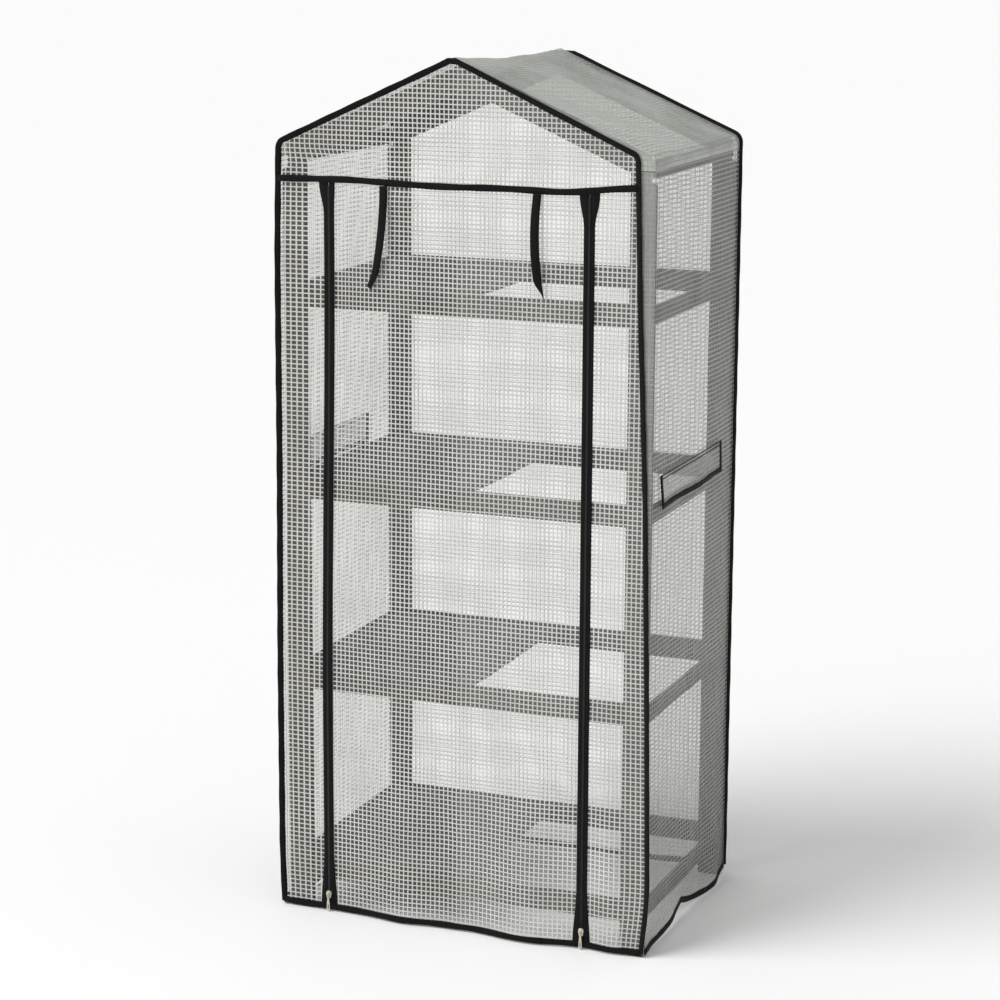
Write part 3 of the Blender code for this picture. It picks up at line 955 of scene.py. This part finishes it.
def wire(name, points, radius, cyclic=False):
    """A round wire through the points."""
    curve = bpy.data.curves.new(name, "CURVE")
    curve.dimensions = "3D"
    curve.bevel_depth = radius
    curve.bevel_resolution = 3
    curve.use_fill_caps = True
    add_run(curve, points, cyclic)
    return link(name, mesh_of(curve), ZIP_METAL)


def join_pieces(pieces, name):
    """Several objects as one piece of separate bodies."""
    bpy.ops.object.select_all(action="DESELECT")
    for piece in pieces:
        piece.select_set(True)
    bpy.context.view_layer.objects.active = pieces[0]
    bpy.ops.object.join()
    pieces[0].name = name
    return pieces[0]


def as_zip_part(pieces, name, body, node):
    """Joins the pieces into one, rides it on its body and has it stand for its CAD node."""
    made = join_pieces(pieces, name)
    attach(made, body)
    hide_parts(node)


def make_slider(side):
    """The zip slider: two shield plates with a neck between them, and the bridge that holds the pull."""
    low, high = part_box(f"zip_slider_{side}")
    x, y, z = (low + high) / 2
    half = (high.x - low.x) / 2
    tall = (high.z - low.z) / 2
    sheet = 0.0014
    bridge_foot = low.y + 0.0009
    shield = arc((0, tall - half), half, 0, math.pi, 8)
    shield += [(-half, 0), (-half * 0.72, -tall), (half * 0.72, -tall), (half, 0)]
    front = plate("front", shield, sheet, Vector((x, bridge_foot, z)), 0.0003)
    rear = plate("rear", shield, sheet, Vector((x, high.y - sheet / 2, z)), 0.0003)
    neck_outline = arc((0, tall * 0.45), half * 0.4, 0, math.pi, 4) + [(-half * 0.3, 0), (half * 0.3, 0)]
    neck = plate("neck", neck_outline, high.y - low.y - 0.0016, Vector((x, y, z)), 0.0002)
    bridge = [
        Vector((x, bridge_foot - 0.0019 * math.sin(a), z + 0.0042 * math.cos(a) + 0.0008))
        for a in spaced(0, math.pi, math.pi / 10)
    ]
    loop = wire("loop", bridge, 0.0008)
    as_zip_part([front, rear, neck, loop], f"slider_{side}", f"{side}_zip_slider", f"zip_slider_{side}")


def make_pull(side):
    """The pull tab: a link round the bridge and a long tab with a slot and a rounded end."""
    low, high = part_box(f"zip_pull_{side}")
    x, y, _ = (low + high) / 2
    half = (high.x - low.x) / 2
    ring = [
        Vector((x + 0.0021 * math.sin(a), y, high.z - 0.0042 + 0.0038 * math.cos(a)))
        for a in spaced(0, 2 * math.pi, math.pi / 8)[:-1]
    ]
    link_wire = wire("link", ring, 0.00068, cyclic=True)
    length = high.z - low.z - 0.0066
    tab = arc((0, half), half, math.pi, 2 * math.pi, 10)
    tab += [(half * 0.82, length * 0.5), (half * 0.5, length - 0.002)]
    tab += arc((0, length - half * 0.5), half * 0.5, 0, math.pi, 6)
    tab += [(-half * 0.5, length - 0.002), (-half * 0.82, length * 0.5)]
    slot_end = 0.0011
    slot = arc((0, 0.0046), slot_end, math.pi, 2 * math.pi, 6) + arc((0, 0.0105), slot_end, 0, math.pi, 6)
    body = plate("tab", tab, high.y - low.y, Vector((x, y, low.z)), 0.00035, hole=slot)
    as_zip_part([body, link_wire], f"pull_{side}", f"{side}_zip_pull", f"zip_pull_{side}")


# ---------------------------------------------------------------- ties, flaps, shelves


# Which way each tie sways, where its top is, and what its tip loses of its width
TIES = {"left": (-1, -0.148, 0.005), "right": (1, 0.137, 0.0135)}


def make_tie(side, sway, top_x, tip_cut):
    """A ribbon hanging from the seam, curling a little as a sewn ribbon does."""
    low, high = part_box(f"tie_{side}")
    foot_x = (low.x if sway < 0 else high.x) - sway * 0.0075
    line = []
    across = []
    widths = []
    for share in spaced(0.0, 1.0, 0.04):
        bow = math.sin(share * math.pi)
        curl = 0.006 * float(smooth((share - 0.82) / 0.18)) * sway
        x = top_x + (foot_x - top_x) * share ** 1.6 - sway * 0.004 * bow + curl
        y = high.y - 0.0012 - 0.006 * bow - 0.004 * share
        z = high.z - 0.002 - (high.z - low.z - 0.002) * share
        twist = math.radians(16) * share * sway
        line.append(Vector((x, y, z)))
        across.append(Vector((math.cos(twist), math.sin(twist), 0)))
        widths.append(TIE_WIDTH - tip_cut * float(smooth((share - 0.80) / 0.20)))
    ribbon = tape(f"ribbon_{side}", line, across, widths, 0.0011, BLACK_TAPE)
    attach(ribbon, "front_frame")
    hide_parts(f"tie_{side}")


def make_flap(side, sign, end, side_y):
    """One half of a side's flap, bound on its end and foot and stitched along its top."""
    low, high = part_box(f"flap_{side}_{end}")
    reach = high.y if side_y > 0 else -low.y
    body = f"{side}_{end}_flap"
    up = (0, 0, 1)

    def place(a, z):
        a = np.asarray(a, float)
        hang = (high.z - z) / (high.z - low.z)
        lift = 0.0032 * hang + 0.0022 * hang * np.sin(a * 31 + 1.0)
        crease = 0.0022 * crest(a, 0.012) * hang
        x = np.full(a.shape, max(abs(low.x), abs(high.x))) + 0.0042 + lift + crease
        return np.stack([sign * x, side_y * a, z], axis=-1)

    name = f"flap_cloth_{side}_{end}"
    sheet = woven(name, (0.0003, reach - 0.003), (low.z + 0.003, high.z), place, SHADED_SIDE)
    declare(sheet, body)
    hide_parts(f"flap_{side}_{end}")
    runs = np.array(spaced(0.0003, reach - 0.001, 0.012))
    foot = as_points(place(runs, np.full(runs.shape, low.z + 0.005)))
    bind(f"flap_foot_{side}_{end}", foot, up, body, width=0.010, thickness=0.002)
    drops = np.array(spaced(high.z - 0.001, low.z + 0.001, 0.010))
    edge = as_points(place(np.full(drops.shape, reach - 0.005), drops))
    bind(f"flap_end_{side}_{end}", edge, (0, 1, 0), body, width=0.010, thickness=0.0021)
    for number, drop in enumerate((0.002, 0.008)):
        seam_run = as_points(place(runs, np.full(runs.shape, high.z - drop)))
        lifted = [p + Vector((sign * 0.0004, 0, 0)) for p in seam_run]
        stitch = tape(f"flap_stitch_{side}_{end}_{number}", lifted, up, STITCH_WIDTH, 0.0012, BLACK_TAPE)
        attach(stitch, body)


def make_shelf(number):
    """A tier's cloth in two halves, each riding on the front or the back frame body."""
    low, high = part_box(f"shelf_panel_{number}")
    level = (low.z + high.z) / 2

    def place(x, y):
        inside = smooth((high.y - np.abs(y)) / 0.10) * smooth((x - low.x) / 0.10)
        sag = 0.0030 * inside + 0.0008 * inside * wrinkles(x, y, 60 + number, 0.12)
        return np.stack([x, y, level - sag], axis=-1)

    def right_edge(y):
        """Where the cloth ends at y: the edge curves out to the back rail."""
        corner = max(0.0, y - (high.y - SHELF_CURVE))
        return SHELF_RIGHT + (SHELF_CURVE - math.sqrt(max(SHELF_CURVE ** 2 - corner ** 2, 0.0)))

    for end, side_y, body in (("front", -1, "front_frame"), ("rear", 1, "back_frame")):
        near, far = sorted((0.0, side_y * high.y))
        columns = spaced(low.x, SHELF_RIGHT, SHELF_GRID)
        rows = spaced(near, far, SHELF_GRID)
        work = bmesh.new()
        grid = []
        for y in rows:
            stretch = (right_edge(y) - low.x) / (SHELF_RIGHT - low.x)
            grid.append([work.verts.new((low.x + (x - low.x) * stretch, y, 0)) for x in columns])
        for here, there in zip(grid, grid[1:]):
            for j in range(len(columns) - 1):
                work.faces.new((here[j], here[j + 1], there[j + 1], there[j])).smooth = True
        keep_flat(work)
        cloth = piece_of(work, f"shelf_{number}_{end}", SHELF_CLOTH)
        lay(cloth, place)
        solid = cloth.modifiers.new("thickness", "SOLIDIFY")
        solid.thickness = 0.0011
        solid.offset = 0.0
        declare(cloth, body)
        if end == "front":
            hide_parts(f"shelf_panel_{number}")
        edge = [as_points(place(np.array([right_edge(y) - 0.006]), np.array([y])))[0] for y in rows]
        hem = tape(f"shelf_hem_{number}_{end}", edge, (1, 0, 0), 0.012, 0.0030, SHELF_CLOTH)
        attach(hem, body)
        for piece in (cloth, hem):
            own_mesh(piece)


def finish_bars():
    """Every bar of the frame keeps its solid and gets the painted finish."""
    for name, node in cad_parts.items():
        if node.hide_render:
            continue
        node.data.materials.clear()
        node.data.materials.append(BAR)


# ---------------------------------------------------------------- the studio


def add_light(name, kind, energy, aim, place=(0, 0, 0)):
    """A light that shines along aim."""
    light = bpy.data.lights.new(name, kind)
    light.energy = energy
    lamp = bpy.data.objects.new(name, light)
    bpy.context.scene.collection.objects.link(lamp)
    lamp.location = place
    lamp.rotation_euler = Vector(aim).to_track_quat("-Z", "Y").to_euler()
    return light


def make_studio():
    """A plain pale floor under a white sky, a broad sun from the left and a softbox."""
    work = bmesh.new()
    bmesh.ops.create_grid(work, x_segments=1, y_segments=1, size=90.0)
    paint = Graph("studio_floor")
    shade = paint.finish(paint.skin((0.93, 0.93, 0.93, 1.0), 0.9, Specular_IOR_Level=0.0))
    piece_of(work, "floor", shade)

    world = bpy.data.worlds.new("studio")
    bpy.context.scene.world = world
    world.use_nodes = True
    background = world.node_tree.nodes["Background"]
    background.inputs["Color"].default_value = (1.0, 1.0, 1.0, 1.0)
    background.inputs["Strength"].default_value = 0.60

    add_light("key", "SUN", 1.85, (0.75, 0.70, -1.15)).angle = math.radians(35)
    softbox_place = Vector((-1.6, -3.2, 2.2))
    add_light("softbox", "AREA", 14, Vector((0, 0, 0.8)) - softbox_place, softbox_place).size = 1.6


def make_camera():
    """The photo's view: where the lens stands, where it looks and what is to its right."""
    place = (1.7963, -4.5695, 1.8346)
    forward = Vector((-0.36132, 0.90724, -0.21533)).normalized()
    right = Vector((0.92864, 0.37095, 0.00463)).normalized()
    camera = bpy.data.cameras.new("camera")
    camera.lens = 98.70
    camera.sensor_width = 36.0
    holder = bpy.data.objects.new("camera", camera)
    bpy.context.scene.collection.objects.link(holder)
    up = right.cross(forward).normalized()
    turned = Matrix((right, up, -forward)).transposed()
    holder.matrix_world = Matrix.Translation(place) @ turned.to_4x4()
    bpy.context.scene.camera = holder


make_front()
make_sides()
make_roof()
make_back()
make_outlines()
make_hems()
make_seam()
for side_name, zip_x in (("left", DOOR_LEFT), ("right", DOOR_RIGHT)):
    make_zip(side_name, zip_x)
    make_slider(side_name)
    make_pull(side_name)
    make_tie(side_name, *TIES[side_name])
for side_name, side_sign in SIDES:
    make_flap(side_name, side_sign, "front", -1)
    make_flap(side_name, side_sign, "rear", 1)
for tier in range(1, 5):
    make_shelf(tier)
finish_bars()
make_studio()
make_camera()
bpy.context.scene.view_settings.view_transform = "Standard"
